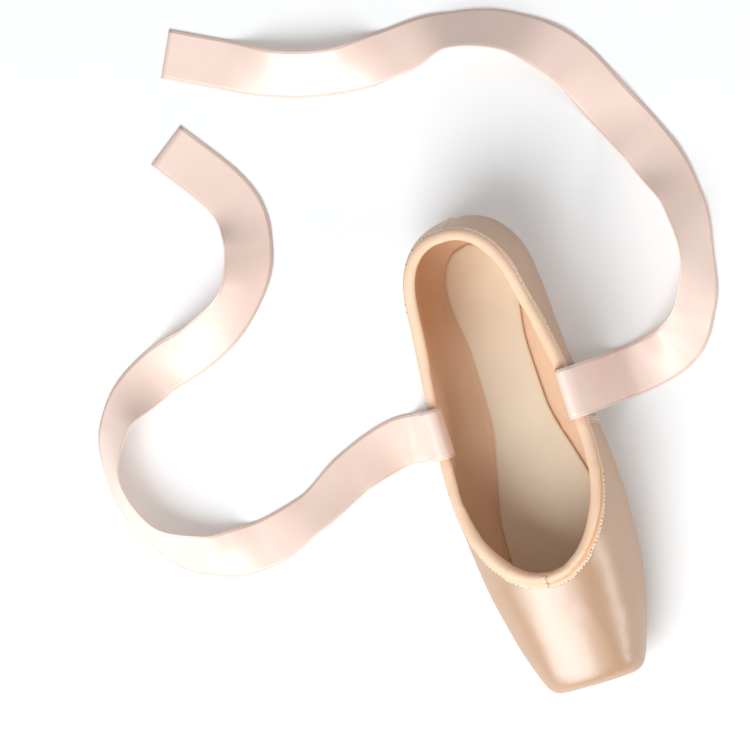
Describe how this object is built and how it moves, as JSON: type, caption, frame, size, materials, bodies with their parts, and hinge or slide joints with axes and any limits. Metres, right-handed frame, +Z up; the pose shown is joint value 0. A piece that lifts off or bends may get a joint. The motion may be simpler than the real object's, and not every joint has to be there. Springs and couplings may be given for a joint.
{
  "type": "pointe shoe",
  "caption": "Satin pointe shoe with a hard box and flat platform, bound collar, leather outsole, insole and two loose ribbons.",
  "frame": {"origin": "on the floor under the middle of the shoe's own box, the ribbons left out", "axes": "+Y along the shoe from the platform to the heel, +Z up from the floor, +X across the shoe"},
  "size_m": [0.333, 0.3716, 0.0606],
  "materials": {
    "satin": "cream-peach shoe satin, soft sheen",
    "binding": "matte peach cotton tape",
    "outsole_leather": "buffed tan leather, scored tread",
    "insole_cloth": "plain cotton over board",
    "ribbon_satin": "pale pink satin ribbon"
  },
  "bodies": {
    "root": {"upper": "satin", "collar_binding": "binding", "outsole": "outsole_leather", "insole": "insole_cloth", "ribbon_left": "ribbon_satin", "ribbon_right": "ribbon_satin"}
  },
  "joints": []
}
